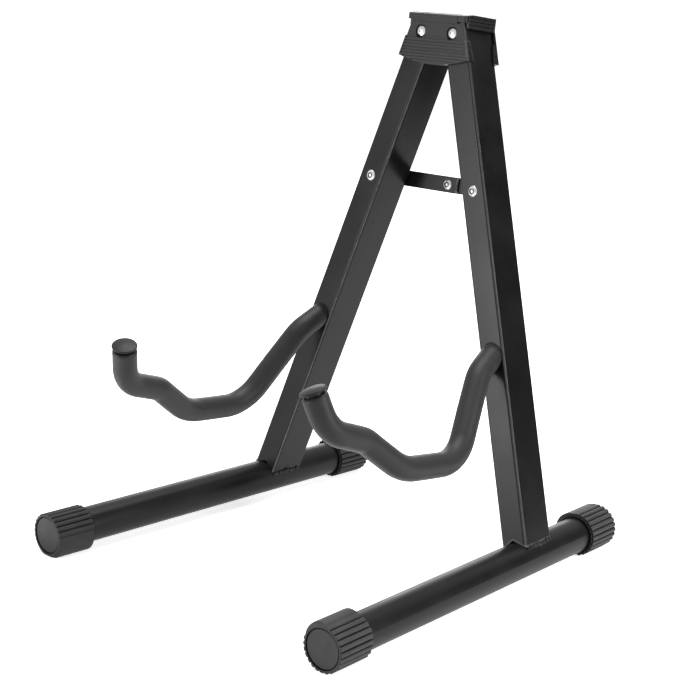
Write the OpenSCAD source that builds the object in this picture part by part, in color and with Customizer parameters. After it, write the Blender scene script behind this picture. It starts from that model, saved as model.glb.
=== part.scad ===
// Folding guitar stand: an A-frame of two tubes, hinged in a moulded head, with a level foot
// tube welded under each leg, two foam covered cradle arms and a two-strip folding brace.
// Millimetres, Z up, arms reach towards -Y. The stand is drawn open, on its four foot caps.

/* [Frame] */
// Distance between the two hinge rivets
pivot_spacing = 28; // [27:0.5:32]
// Angle of each leg from the middle plane when open
splay = 17.45; // [15:0.05:20]
// Angle that the leg frame leans back
lean = 7.5; // [4:0.5:11]
// Length of a leg from its hinge rivet to the axis of its foot tube
leg_length = 363; // [340:1:400]

/* [Leg tube] */
// Width of the leg tube
leg_w = 20; // [18:0.5:22]
// Depth of the leg tube, front to back
leg_d = 30; // [26:0.5:34]
// Wall of the leg tube
leg_wall = 1.2; // [1:0.1:1.5]
// Outer corner radius of the leg tube
leg_corner = 2; // [1.6:0.1:3]
// Length of the leg tube above its hinge rivet
leg_top = 8; // [7:0.25:8.5]
// Rise of the notch cut in the lower end, per millimetre of its width
notch_slope = 0.55; // [0.4:0.05:0.7]

/* [Foot] */
// Diameter of the foot tube
foot_d = 25; // [24:0.5:27]
// Wall of the foot tube
foot_wall = 1.2; // [1:0.1:2]
// Reach of a foot in front of its leg, over the cap
foot_front = 214.5; // [190:0.5:240]
// Reach of a foot behind its leg, over the cap
foot_rear = 88.5; // [75:0.5:110]
// Radius of a weld bead
weld_r = 1.8; // [1.5:0.1:2.4]

/* [Foot caps] */
// Length of a cap
cap_length = 31; // [25:0.5:38]
// Thickness of the closed end of a cap
cap_end = 3; // [2:0.1:5]
// Radius over the ribs
cap_r = 15.4; // [15:0.1:17]
// Number of rib places in a full turn
cap_pitches = 24; // [20:1:30]
// Radius of one rib
rib_r = 1.8; // [1.6:0.05:1.95]
// Reach of the thick side beyond the ribs
cap_lobe = 1.6; // [0.8:0.1:2]
// Depth of the flat that rests on the floor
cap_flat = 0.4; // [0.2:0.1:0.6]
// Radius of the round disc on the end
disc_r = 12.4; // [11:0.1:12.8]
// Depth of the disc below the rim
disc_dip = 0.5; // [0.3:0.1:0.8]
// Width of the groove round the disc
disc_groove = 0.9; // [0.5:0.1:1.2]
// Depth of that groove below the disc
groove_deep = 1.1; // [0.5:0.1:1.4]
// Width of the smooth ring at the mouth of a cap
cap_ring = 1.5; // [1:0.5:5]
// Angles of the front caps' thick sides, from +X upwards, left and right
front_thick = [-75, 116];
// Angles of the rear caps' thick sides
rear_thick = [202.5, 157.5];
// Distance of the thick sides' centres from the axis, for the two front caps
front_off = [2.4, 6];
// The same for the rear caps
rear_off = 3.3; // [2.4:0.1:6]

/* [Cradle arm] */
// Height of the arm's root above the axis of the foot tube, along the leg
arm_height = 138.3; // [120:0.5:160]
// Diameter of the arm rod
rod_d = 8; // [6:0.5:10]
// Diameter over the foam sleeve
foam_d = 16.8; // [15:0.2:20]
// Reach and fall of the first, steep part of the arm
arm_dip = [18.5, -11.5];
// Corners of the arm after it, from its root: forward and up
arm_seat_rear = [56, -68.5];
// Front end of the arm's level seat
arm_seat_front = [115.5, -68.5];
// Start of the raised shoulder
arm_shoulder = [150.5, -47.5];
// Foot of the upturned tip
arm_heel = [185, -40];
// End of the tip
arm_tip = [195.6, -13.1];
// Bend radii at those corners
arm_bends = [30, 34, 42, 21, 24];
// Angle that both arms are turned sideways on their legs
arm_turn = 3.7; // [0:0.1:5]
// Angle that the left arm is tipped in its leg's plane
arm_tip_left = 2.3; // [0:0.1:3]
// Extra length of the left arm's tip
tip_longer_left = 3.3; // [0:0.1:4]
// Thickness of the flange of the end plug
plug_t = 2.6; // [2.2:0.1:3.4]
// Radius of the flange
plug_r = 8.6; // [8:0.1:9.4]
// Swell of the flange's domed face
plug_dome = 1; // [0.5:0.1:1.4]
// Gap between the flange and the foam
plug_gap = 2.2; // [0.8:0.1:3]
// Length of the plug with its neck
plug_neck = 13; // [10:0.5:16]

/* [Hinge head] */
// Wall of the head's front and rear plates
head_wall = 2; // [1.6:0.1:3]
// Thickness of the side bands
band_t = 1.7; // [1.2:0.1:3]
// Height of the top of the head above the hinge rivets
head_top = 13.7; // [13:0.1:16]
// Depth of the lowest point of the plates below the hinge rivets
head_drop = 22.5; // [20:0.5:26]
// Radius of the curved lower edge
head_curve = 100; // [70:1:130]
// Lower edge of the side bands above the hinge rivets
band_low = 4.2; // [3:0.1:6]
// Lower edge of the front lip above the hinge rivets
lip_low = 7; // [6:0.1:9]
// Radius of the head's rear corners
head_corner = 4; // [3:0.5:5]
// Radius of the head's front corners
front_corner = 1.5; // [1:0.1:2]
// Half width of the plates under the lip
plate_half = 23; // [22:0.1:23.4]
// Thickness of the wings that wrap round the legs
wing_t = 0.9; // [0.8:0.1:1.4]
// Depth of the wings at their foot, from the plates' outer faces
wing_d = 7; // [6:0.1:11]
// Depth of the wings at their top
wing_top_d = 4.4; // [3:0.1:5]
// Top of the wings below the hinge rivets
wing_top = 3.9; // [3:0.1:6]
// Depth of the seats of the hinge rivets' heads
rivet_sink = 0.7; // [0.4:0.1:1]
// Reach of the lip in front of the front plate
lip_proud = 2.2; // [1.2:0.1:3]
// Half width of the lip
lip_half = 18.7; // [16:0.1:21]
// Reach of the ends on both sides of the lip
lip_end = 2; // [0.4:0.1:2.1]
// Rise of the ends' lower edges above the lip's
end_rise = 0.9; // [0.5:0.1:2]
// Width of the seam between the front and the side bands
seam_w = 0.8; // [0.5:0.1:1]
// Fall of the top at its front edge
top_fall = 1.5; // [1:0.1:2]
// Depth over which the top falls
fall_depth = 8.5; // [6:0.5:12]
// Thickness of the ribbed pad on the lower front
pad_t = 1.4; // [1:0.1:2]
// Top of the ribbed pad below the hinge rivets
pad_top = 3.6; // [2:0.1:6]
// Distance between the grooves of the pad
groove_pitch = 2.15; // [2:0.05:3]
// Distance from the ends of those grooves to the edge of the pad
groove_margin = 1.2; // [0.8:0.1:3]

/* [Brace] */
// Distance from hinge rivet to brace rivet along the leg
brace_drop = 110.3; // [90:0.5:130]
// Height of a brace strip
strip_h = 11.5; // [10:0.5:14]
// Thickness of a brace strip
strip_t = 2; // [1.5:0.1:3]
// Length of a strip beyond the middle rivet
strip_over = 8.5; // [6:0.5:11]

/* [Rivets] */
// Shank diameter of the rivets
shank_d = 5; // [4:0.25:6]
// Head diameter of the hinge rivets
hinge_head_d = 8.6; // [7.5:0.1:10]
// Head diameter of the brace rivets
brace_head_d = 7.6; // [6.6:0.1:8]
// Height of a rivet's domed head
dome_h = 1.6; // [1.2:0.1:2]
// Thickness of a rivet's flat tail
tail_h = 1.2; // [0.8:0.1:2]

/* [Clearances] */
// Gap between parts that move past each other
slack = 0.3; // [0.2:0.05:0.4]
// Radial clearance round a shank, rod or tube
fit = 0.05; // [0.02:0.01:0.1]

/* [Hidden] */
$fn = 64;
SIDES = ["left", "right"];

pivot_x = pivot_spacing / 2;
shank_r = shank_d / 2;
hole_r = shank_r + fit;
rod_r = rod_d / 2;
foam_r = foam_d / 2;
foot_r = foot_d / 2;
// The foot tube is level when the stand is open, and square to the leg's width.
foot_tilt = atan(tan(lean) / cos(splay));
foot_toe = atan(tan(splay) * sin(lean));
foot_roll = asin(sin(splay) * cos(lean));
axis_height = cap_r - cap_flat;
pivot_height = axis_height + leg_length * cos(lean) * cos(splay);
leg_foot_back = leg_length * sin(lean) * cos(splay);
// The origin is on the floor, in the middle of the box round the stand.
origin_back = leg_foot_back + (foot_front - foot_rear) / 2 * cos(foot_toe);
// The sides of the notch just touch the foot tube.
notch_rise = (foot_r + fit) * sqrt(1 + notch_slope * notch_slope);
arm_drop = leg_length - arm_height;
arm_points = [[0, 0], arm_dip, arm_seat_rear, arm_seat_front, arm_shoulder, arm_heel, arm_tip];
front_y = leg_d / 2 + slack;
plate_y = front_y + head_wall;
band_in = pivot_x + leg_w / 2 + slack;
head_half = band_in + band_t;
wing_in = pivot_x + (leg_w / 2 + slack) / cos(splay);
wing_half = wing_in + wing_t / cos(splay);
strip_length = pivot_x + brace_drop * sin(splay);
left_strip_y = leg_d / 2 + slack;
right_strip_y = left_strip_y + strip_t + slack;
flat_gap = 0.1;
tail_r = shank_r + 1.5;
neck_r = rod_r + 1.5;
black = [0.09, 0.09, 0.1];
charcoal = [0.2, 0.2, 0.21];
steel = [0.75, 0.76, 0.78];

// Frame of the hinge: origin between the two hinge rivets, Z up the leaning plane of the legs.
module hinge_frame() {
    translate([0, origin_back, pivot_height]) rotate([-lean, 0, 0]) children();
}

// Frame of one leg: origin on its hinge rivet, Z up the leg; side is -1 for left, 1 for right.
module leg_frame(side) {
    hinge_frame() translate([side * pivot_x, 0, 0]) rotate([0, -side * splay, 0]) children();
}

// Frame of one foot: origin under the leg on the axis of the foot tube, Y along it to the rear.
module foot_frame(side) {
    leg_frame(side) translate([0, 0, -leg_length]) rotate([foot_tilt, 0, 0]) children();
}

// The same frame turned about its Y axis until its Z is upright.
module level_foot_frame(side) {
    foot_frame(side) rotate([0, side * foot_roll, 0]) children();
}

// A cylinder along Y, from y0 to y1.
module along_y(r, y0, y1) {
    translate([0, y0, 0]) rotate([-90, 0, 0]) cylinder(h = y1 - y0, r = r);
}

module rounded_square(w, d, r) {
    square([w - 2 * r, d], center = true);
    square([w, d - 2 * r], center = true);
    for (x = [-1, 1], y = [-1, 1])
        translate([x * (w / 2 - r), y * (d / 2 - r)]) circle(r);
}

// Domed rivet head at y = 0 that swells towards -Y, with a dimple for its broken stem.
module dome(head_d, height) {
    head_r = head_d / 2;
    ball = (head_r * head_r + height * height) / (2 * height);
    difference() {
        intersection() {
            translate([0, ball - height, 0]) sphere(ball);
            along_y(head_r, -height, 0);
        }
        along_y(shank_r * 0.45, -height - 1, -height + 0.7);
    }
}

// Rivet through y0 to y1, its dome in front and its flat tail behind.
module rivet(head_d, y0, y1) {
    translate([0, y0, 0]) dome(head_d, dome_h);
    along_y(shank_r, y0, y1 + tail_h);
    along_y(tail_r, y1, y1 + tail_h);
}

// Outline of the head's plates in X and Z: straight under the lip, then flanks that follow the
// open legs, and a curved foot.
module plate_outline() {
    flank_top = min(head_top - 2, (wing_half - plate_half) / tan(splay));
    foot_x = wing_half + head_drop * tan(splay);
    intersection() {
        polygon([[plate_half, head_top - 1], [plate_half, flank_top], [foot_x, -head_drop],
                 [-foot_x, -head_drop], [-plate_half, flank_top], [-plate_half, head_top - 1]]);
        translate([0, head_curve - head_drop]) circle(head_curve, $fn = 180);
    }
}

// Half length of a groove of the pad at height z, inside the flanks and the curved foot.
function groove_half(z) =
    min(wing_half - z * tan(splay),
        sqrt(max(pow(head_curve, 2) - pow(head_curve - head_drop - z, 2), 16))) - groove_margin;

// What lies outside the legs' outer sides below the tops of the wings.
module wing_outline() {
    low = head_drop + 5;
    for (s = [-1, 1])
        polygon([[s * (wing_in + wing_top * tan(splay)), -wing_top], [s * 2 * wing_half, -wing_top],
                 [s * 2 * wing_half, -low], [s * (wing_in + low * tan(splay)), -low]]);
}

// Side view of the wings, in Y and Z: they are deeper at their foot than at their top.
module wing_side() {
    low = head_drop + 5;
    deep = wing_top_d + (wing_d - wing_top_d) * (low - wing_top) / (head_drop - wing_top);
    for (s = [-1, 1])
        polygon([[s * (plate_y - 0.5), -wing_top + 1], [s * (plate_y - wing_top_d), -wing_top + 1],
                 [s * (plate_y - wing_top_d), -wing_top], [s * (plate_y - deep), -low],
                 [s * (plate_y - 0.5), -low]]);
}

// Extrudes an X, Z outline from y0 to y1.
module plate(y0, y1) {
    translate([0, y1, 0]) rotate([90, 0, 0]) linear_extrude(y1 - y0) children();
}

// Plan of the head's top without its lip: small front corners, larger rear corners.
module top_plan() {
    front = -plate_y - lip_end;
    polygon([[-head_half + front_corner, front], [head_half - front_corner, front],
             [head_half, front + front_corner], [head_half, plate_y - head_corner],
             [head_half - head_corner, plate_y], [-head_half + head_corner, plate_y],
             [-head_half, plate_y - head_corner], [-head_half, front + front_corner]]);
    for (x = [-1, 1]) {
        translate([x * (head_half - head_corner), plate_y - head_corner]) circle(head_corner);
        translate([x * (head_half - front_corner), front + front_corner]) circle(front_corner);
    }
}

module hinge_head() {
    lip_y = plate_y + lip_proud;
    inner_half = head_half - head_corner;
    wide = 2 * head_half;
    fall = top_fall / fall_depth;
    band_y = -plate_y + 1.4;
    color(black) hinge_frame() difference() {
        union() {
            // Front plate, ribbed pad, rear plate and the wings of both
            intersection() {
                plate(-head_half, head_half) plate_outline();
                union() {
                    translate([-wide, -plate_y, -wide]) cube([2 * wide, head_wall, 2 * wide]);
                    translate([-wide, -plate_y - pad_t, -wide]) cube([2 * wide, pad_t, wide - pad_top]);
                    translate([-wide, front_y, -wide]) cube([2 * wide, head_wall, 2 * wide]);
                    intersection() {
                        plate(-plate_y, plate_y) wing_outline();
                        translate([-wide, 0, 0]) rotate([90, 0, 90]) linear_extrude(2 * wide)
                            wing_side();
                    }
                }
            }
            // Top, lip with its lower ends, and side bands
            translate([0, 0, head_top - head_wall]) linear_extrude(head_wall) top_plan();
            translate([-lip_half, -lip_y, lip_low])
                cube([2 * lip_half, head_wall + lip_proud, head_top - lip_low]);
            translate([0, 0, lip_low + end_rise]) linear_extrude(head_top - lip_low - end_rise)
                intersection() {
                    top_plan();
                    translate([-wide, -lip_y]) square([2 * wide, lip_y - front_y]);
                }
            translate([0, 0, band_low]) linear_extrude(head_top - band_low) difference() {
                top_plan();
                translate([-wide, -lip_y - 1]) square([2 * wide, lip_y + 1 + band_y]);
                translate([-band_in, -lip_y - 1]) square([2 * band_in, lip_y + 1 + front_y]);
                translate([-inner_half, 0]) square([2 * inner_half, 2 * plate_y]);
            }
        }
        for (side = [-1, 1]) translate([side * pivot_x, 0, 0]) {
            along_y(hole_r, -plate_y - 5, plate_y + 5);
            // Round seat of the rivet's head
            along_y(hinge_head_d / 2 + 0.6, -plate_y - pad_t - 1, -plate_y + rivet_sink);
        }
        // Grooves across the pad and along the side bands, and the seam in front of the bands
        for (i = [0 : 7]) {
            z = -pad_top - 1.6 - i * groove_pitch;
            translate([-groove_half(z), -plate_y - pad_t - 1, z]) cube([2 * groove_half(z), 1.9, 0.7]);
        }
        for (side = [-1, 1]) {
            for (i = [1 : 3])
                translate([side * head_half - 0.5, band_y + 0.6, band_low + i * (head_top - band_low) / 4])
                    cube([1, leg_d - 2, 0.6]);
            translate([side * head_half - 0.8, band_y - seam_w, band_low - 1])
                cube([1.6, seam_w, head_top - band_low]);
        }
        // The top falls towards its front edge
        translate([-wide, 0, 0]) rotate([90, 0, 90]) linear_extrude(2 * wide)
            polygon([[-lip_y - 2, head_top - top_fall - 2 * fall],
                     [-lip_y + fall_depth + 2 / fall, head_top + 2], [-lip_y - 2, head_top + 2]]);
    }
}

module hinge_rivet(side) {
    color(steel) hinge_frame() translate([side * pivot_x, 0, 0])
        rivet(hinge_head_d, -plate_y + rivet_sink, plate_y);
}

module leg_outline() {
    rounded_square(leg_w, leg_d, leg_corner);
}

module leg_tube(side) {
    below = foot_r * 2;
    color(black) leg_frame(side) difference() {
        translate([0, 0, -leg_length - below]) linear_extrude(leg_length + below + leg_top)
            difference() {
                leg_outline();
                rounded_square(leg_w - 2 * leg_wall, leg_d - 2 * leg_wall, leg_corner - leg_wall);
            }
        along_y(hole_r, -leg_d, leg_d);
        translate([0, 0, -brace_drop]) along_y(hole_r, -leg_d, leg_d);
        // The rod's hole is in the front wall alone.
        arm_frame(side) rotate([0, 0, arm_heading(0)]) rotate([0, 90, 0])
            translate([0, 0, -leg_d / 2]) cylinder(h = leg_d, r = rod_r + fit);
        // Notch that sits over the foot tube
        translate([0, 0, -leg_length]) rotate([foot_tilt, 0, 0]) plate(-2 * leg_d, 2 * leg_d)
            polygon([[0, notch_rise], [2 * leg_w, notch_rise - 2 * leg_w * notch_slope],
                     [2 * leg_w, -4 * foot_d], [-2 * leg_w, -4 * foot_d],
                     [-2 * leg_w, notch_rise - 2 * leg_w * notch_slope]]);
    }
}

// Spacer tube round the hinge rivet, between the walls of the leg.
module hinge_sleeve(side) {
    inside = leg_d / 2 - leg_wall;
    color(steel) leg_frame(side) difference() {
        along_y(shank_r + 1.5, -inside, inside);
        along_y(hole_r, -leg_d, leg_d);
    }
}

module foot_tube(side) {
    color(black) foot_frame(side) difference() {
        along_y(foot_r, -foot_front + cap_end, foot_rear - cap_end);
        along_y(foot_r - foot_wall, -foot_front, foot_rear);
    }
}

// Weld beads along both sides of the leg's lower end.
module foot_weld(side) {
    bead_z = sqrt(foot_r * foot_r - leg_w * leg_w / 4) + 0.6;
    middle = bead_z * tan(foot_tilt);
    color(black) foot_frame(side) difference() {
        for (x = [-1, 1]) translate([x * leg_w / 2, 0, bead_z])
            along_y(weld_r, middle - leg_d / 2 + 1, middle + leg_d / 2 - 1);
        translate([-leg_w / 2, -leg_d, 0]) cube([leg_w, 2 * leg_d, 4 * foot_r]);
        along_y(foot_r, -2 * leg_d, 2 * leg_d);
    }
}

// Outline of a cap in X and Z: round ribs, one on the floor, and a thick side at an angle. The
// centre of the thick side's arc is off the axis; the further off, the narrower the side.
module cap_outline(thick, off) {
    circle(cap_r - 1.6);
    for (i = [0 : cap_pitches - 1]) rotate(i * 360 / cap_pitches - 90)
        translate([cap_r - rib_r, 0]) circle(rib_r);
    rotate(thick) translate([off, 0]) circle(cap_r + cap_lobe - off);
}

// Rubber cap along Y, closed end at y = 0 facing -Y; thick is the angle of its thick side.
module cap(thick, off) {
    ribbed = cap_length - cap_ring;
    color(charcoal) difference() {
        intersection() {
            union() {
                plate(-1, ribbed) cap_outline(thick, off);
                // Smooth ring at the mouth
                along_y(cap_r - 1.2, ribbed - 0.5, cap_length);
            }
            // Rounded rim of the closed end
            rotate([-90, 0, 0]) rotate_extrude() union() {
                translate([0, 3]) square([cap_r + 3, cap_length]);
                square([cap_r - 1.4, cap_length]);
                translate([cap_r - 1.4, 3]) circle(3);
            }
        }
        along_y(foot_r + fit, cap_end, cap_length + 1);
        // Counterbore at the mouth
        along_y(foot_r + 0.8, cap_length - 1.5, cap_length + 1);
        // Sunk disc with a deeper groove round it
        along_y(disc_r + disc_groove, -1, disc_dip);
        difference() {
            along_y(disc_r + disc_groove, 0, disc_dip + groove_deep);
            along_y(disc_r, -1, cap_end);
        }
        // Flat on the floor
        translate([-cap_r, -1, -2 * cap_r - axis_height])
            cube([2 * cap_r, cap_length + 2, 2 * cap_r]);
    }
}

module front_cap(side) {
    i = (side + 1) / 2;
    level_foot_frame(side) translate([0, -foot_front, 0]) cap(front_thick[i], front_off[i]);
}

module rear_cap(side) {
    level_foot_frame(side) translate([0, foot_rear, 0]) rotate([0, 0, 180])
        cap(180 - rear_thick[(side + 1) / 2], rear_off);
}

// Frame of an arm: origin on the leg's front face, X forward, Y up the leg.
module arm_frame(side) {
    tip = side < 0 ? arm_tip_left : 0;
    translate([0, -leg_d / 2, -arm_drop]) rotate([0, -tip, arm_turn]) rotate([90, 0, -90]) children();
}

function arm_step(i) = arm_points[i + 1] - arm_points[i];
function arm_heading(i) = atan2(arm_step(i).y, arm_step(i).x);
function arm_corner_turn(i) = arm_heading(i) - arm_heading(i - 1);
function arm_tangent(i) =
    i < 1 || i > len(arm_bends) ? 0 : arm_bends[i - 1] * tan(abs(arm_corner_turn(i)) / 2);
function along(i, d) = arm_points[i] + d * [cos(arm_heading(i)), sin(arm_heading(i))];

// Round bar along the arm, from before its root to short of its tip. The straight runs are a
// hair thinner than the bends, so that they can end inside them.
module arm_bar(r, before, short) {
    last = len(arm_points) - 2;
    lap = 0.5;
    for (i = [0 : last]) {
        start = arm_tangent(i) - (i == 0 ? before : lap);
        length = norm(arm_points[i + 1] - arm_points[i]);
        end = length - arm_tangent(i + 1) + (i == last ? -short : lap);
        translate(along(i, start)) rotate([0, 0, arm_heading(i)]) rotate([0, 90, 0])
            cylinder(h = end - start, r = r - 0.05);
    }
    for (i = [1 : last]) {
        turn = arm_corner_turn(i);
        bend = arm_bends[i - 1];
        hand = sign(turn);
        begin = along(i - 1, norm(arm_points[i] - arm_points[i - 1]) - arm_tangent(i));
        heading = arm_heading(i - 1);
        translate(begin + hand * bend * [-sin(heading), cos(heading)])
            rotate([0, 0, heading - hand * 90 + min(turn, 0)])
                rotate_extrude(angle = abs(turn)) translate([bend, 0]) circle(r);
    }
}

function tip_longer(side) = side < 0 ? tip_longer_left : 0;

// Places its children at the tip of the arm, with Z back down the tip.
module at_tip(side) {
    last = len(arm_points) - 1;
    translate(arm_points[last]) rotate([0, 0, arm_heading(last - 1)]) rotate([0, -90, 0])
        translate([0, 0, -tip_longer(side)]) children();
}

module arm_rod(side) {
    color(black) leg_frame(side) arm_frame(side)
        arm_bar(rod_r, leg_d / 2 - 3, plug_t - tip_longer(side));
}

module arm_foam(side) {
    color(charcoal) leg_frame(side) difference() {
        arm_frame(side) difference() {
            arm_bar(foam_r, foam_r, plug_t + plug_gap - tip_longer(side));
            arm_bar(rod_r + fit, foam_r + 1, -tip_longer(side));
            // Room for the neck of the end plug
            at_tip(side) cylinder(h = plug_neck + fit, r = neck_r + fit);
        }
        translate([-leg_w * 2, -leg_d / 2 - slack, -leg_length]) cube([leg_w * 4, leg_d, leg_length]);
    }
}

// Push-on plug with a domed, round-edged flange and a neck over the rod and under the foam.
module arm_plug(side) {
    edge = (plug_t - plug_dome) / 2;
    flat_r = plug_r - edge;
    ball = (flat_r * flat_r + plug_dome * plug_dome) / (2 * plug_dome);
    color(black) leg_frame(side) arm_frame(side) at_tip(side) difference() {
        union() {
            rotate_extrude() {
                translate([0, plug_dome]) square([flat_r, plug_t - plug_dome]);
                translate([flat_r, plug_dome + edge]) circle(edge);
                intersection() {
                    translate([0, ball]) circle(ball);
                    square([flat_r, plug_dome + edge]);
                }
            }
            translate([0, 0, plug_t - edge]) cylinder(h = plug_neck - plug_t + edge, r = neck_r);
        }
        translate([0, 0, plug_t]) cylinder(h = plug_neck, r = rod_r + fit);
    }
}

// Rivet through the leg, the spacer if there is one, and the strip behind it.
module brace_rivet(side) {
    behind = (side < 0 ? left_strip_y : right_strip_y) + strip_t + flat_gap;
    color(steel) leg_frame(side) translate([0, 0, -brace_drop]) rivet(brace_head_d, -leg_d / 2, behind);
}

module brace_spacer() {
    color(black) leg_frame(1) translate([0, 0, -brace_drop]) difference() {
        along_y(tail_r + 1, leg_d / 2, right_strip_y - flat_gap);
        along_y(hole_r, 0, leg_d);
    }
}

// Brace strip in the hinge frame: round at the leg, square with small corners past the middle.
module brace_strip(side, y0) {
    middle_z = -brace_drop * cos(splay);
    corner = 1.2;
    color(black) hinge_frame() translate([0, 0, middle_z]) difference() {
        plate(y0, y0 + strip_t) union() {
            translate([side * strip_length, 0]) circle(strip_h / 2);
            translate([side < 0 ? -strip_length : -strip_over, -strip_h / 2 + corner])
                square([strip_length + strip_over, strip_h - 2 * corner]);
            translate([side < 0 ? -strip_length : -strip_over + corner, -strip_h / 2])
                square([strip_length + strip_over - corner, strip_h]);
            for (z = [-1, 1]) translate([-side * (strip_over - corner), z * (strip_h / 2 - corner)])
                circle(corner);
        }
        for (x = [0, side * strip_length]) translate([x, 0, 0]) along_y(hole_r, y0 - 1, y0 + strip_t + 1);
    }
}

// Middle rivet in two halves: the dome is on the left strip, the tail is on the right one.
module middle_rivet_front() {
    color(steel) hinge_frame() translate([0, left_strip_y, -brace_drop * cos(splay)]) {
        dome(brace_head_d, dome_h);
        along_y(shank_r, 0, strip_t);
    }
}

module middle_rivet_rear() {
    color(steel) hinge_frame() translate([0, right_strip_y, -brace_drop * cos(splay)]) {
        along_y(shank_r, 0, strip_t + tail_h);
        along_y(tail_r, strip_t, strip_t + tail_h);
    }
}

hinge_head();
hinge_rivet(-1);  // left_hinge_rivet
hinge_rivet(1);  // right_hinge_rivet
leg_tube(-1);  // left_leg_tube
hinge_sleeve(-1);  // left_hinge_sleeve
foot_tube(-1);  // left_foot_tube
foot_weld(-1);  // left_foot_weld
front_cap(-1);  // left_front_cap
rear_cap(-1);  // left_rear_cap
arm_rod(-1);  // left_arm_rod
arm_foam(-1);  // left_arm_foam
arm_plug(-1);  // left_arm_plug
brace_rivet(-1);  // left_brace_rivet
leg_tube(1);  // right_leg_tube
hinge_sleeve(1);  // right_hinge_sleeve
foot_tube(1);  // right_foot_tube
foot_weld(1);  // right_foot_weld
front_cap(1);  // right_front_cap
rear_cap(1);  // right_rear_cap
arm_rod(1);  // right_arm_rod
arm_foam(1);  // right_arm_foam
arm_plug(1);  // right_arm_plug
brace_rivet(1);  // right_brace_rivet
brace_spacer();  // right_brace_spacer
brace_strip(-1, left_strip_y);  // left_brace_strip
middle_rivet_front();
brace_strip(1, right_strip_y);  // right_brace_strip
middle_rivet_rear();
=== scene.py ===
"""Looks of the folding guitar stand: materials, foam sleeves, weld beads, turned rivets, floor,
light and camera.

Sizes of the stand are in millimetres, as in part.scad, and so are the limits of the masks in the
materials. The floor, the lamps and the cards are in metres.
"""

import math
import random

import bpy
from mathutils import Matrix, Vector


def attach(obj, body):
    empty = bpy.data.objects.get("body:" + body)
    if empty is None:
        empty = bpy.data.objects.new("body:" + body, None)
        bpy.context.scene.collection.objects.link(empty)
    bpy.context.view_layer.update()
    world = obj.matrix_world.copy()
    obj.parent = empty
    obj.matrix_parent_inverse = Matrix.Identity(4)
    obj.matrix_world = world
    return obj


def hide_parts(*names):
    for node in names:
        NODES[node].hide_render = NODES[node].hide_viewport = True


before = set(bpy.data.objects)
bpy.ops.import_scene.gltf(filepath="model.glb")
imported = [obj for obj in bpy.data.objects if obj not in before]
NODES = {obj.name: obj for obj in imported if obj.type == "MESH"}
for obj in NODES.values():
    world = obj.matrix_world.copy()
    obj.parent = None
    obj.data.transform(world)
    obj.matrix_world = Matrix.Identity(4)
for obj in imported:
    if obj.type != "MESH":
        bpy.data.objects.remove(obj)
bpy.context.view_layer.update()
SIDES = {"left": -1, "right": 1}
MM = 0.001


# Sizes of part.scad

LEAN = math.radians(7.5)
SPLAY = math.radians(17.45)
PIVOT_X = 14.0
LEG_LENGTH = 363.0
LEG_WIDTH, LEG_DEPTH, LEG_CORNER = 20.0, 30.0, 2.0
NOTCH_SLOPE = 0.55
AXIS_HEIGHT = 15.0
FOOT_R = 12.5
FOOT_FRONT, FOOT_REAR = 214.5, 88.5
CAP_R, CAP_PITCHES = 15.4, 24
DISC_R, DISC_DIP, DISC_GROOVE = 12.4, 0.5, 0.9
ARM_DROP = LEG_LENGTH - 138.3
ARM_TURN = math.radians(3.7)
ARM_TIP = {"left": math.radians(2.3), "right": 0.0}
ARM_POINTS = [(0, 0), (18.5, -11.5), (56, -68.5), (115.5, -68.5), (150.5, -47.5), (185, -40),
              (195.6, -13.1)]
ARM_BENDS = [30, 34, 42, 21, 24]
FOAM_R = 8.4
PLUG_T, PLUG_GAP = 2.6, 2.2
TIP_LONGER = {"left": 3.3, "right": 0.0}
SLACK, FIT, FLAT_GAP = 0.3, 0.05, 0.1
HEAD_WALL, HEAD_DROP = 2.0, 22.5
BAND_T, BAND_LOW = 1.7, 4.2
WING_T, WING_D, WING_TOP_D, WING_TOP = 0.9, 7.0, 4.4, 3.9
PLATE_Y = LEG_DEPTH / 2 + SLACK + HEAD_WALL
HEAD_HALF = PIVOT_X + LEG_WIDTH / 2 + SLACK + BAND_T
WING_HALF = PIVOT_X + (LEG_WIDTH / 2 + SLACK + WING_T) / math.cos(SPLAY)
BRACE_DROP = 110.3
STRIP_T, STRIP_OVER = 2.0, 8.5
SHANK_R, TAIL_R, TAIL_H = 2.5, 4.0, 1.2
DOME_R, DOME_H = 3.8, 1.6
TOE = math.atan(math.tan(SPLAY) * math.sin(LEAN))
PIVOT_Z = AXIS_HEIGHT + LEG_LENGTH * math.cos(LEAN) * math.cos(SPLAY)
PIVOT_Y = (LEG_LENGTH * math.sin(LEAN) * math.cos(SPLAY)
           + (FOOT_FRONT - FOOT_REAR) / 2 * math.cos(TOE))

# From under the domed head to the tail, or to the end of the shank where there is no tail
RIVETS = {"left_brace_rivet": LEG_DEPTH + SLACK + STRIP_T + FLAT_GAP,
          "right_brace_rivet": LEG_DEPTH + 2 * (SLACK + STRIP_T) + FLAT_GAP,
          "middle_rivet_front": STRIP_T}


# Frames of the legs, arms, feet and rivets

def turn(axis, angle):
    return Matrix.Rotation(angle, 4, axis)


def hinge_frame():
    """Between the two hinge rivets, Y to the rear and Z up the leaning plane of the legs."""
    return Matrix.Translation((0, PIVOT_Y, PIVOT_Z)) @ turn("X", -LEAN)


def hinge_rivet_frame(side):
    return hinge_frame() @ Matrix.Translation((SIDES[side] * PIVOT_X, 0, 0))


def leg_frame(side):
    """At the hinge rivet, Z up the leg."""
    return hinge_rivet_frame(side) @ turn("Y", -SIDES[side] * SPLAY)


def arm_frame(side):
    """X forward and Y up the leg, from the arm's root on the leg's front face."""
    return (leg_frame(side) @ Matrix.Translation((0, -LEG_DEPTH / 2, -ARM_DROP))
            @ turn("Z", ARM_TURN) @ turn("Y", -ARM_TIP[side])
            @ turn("X", math.pi / 2) @ turn("Y", -math.pi / 2))


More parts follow.
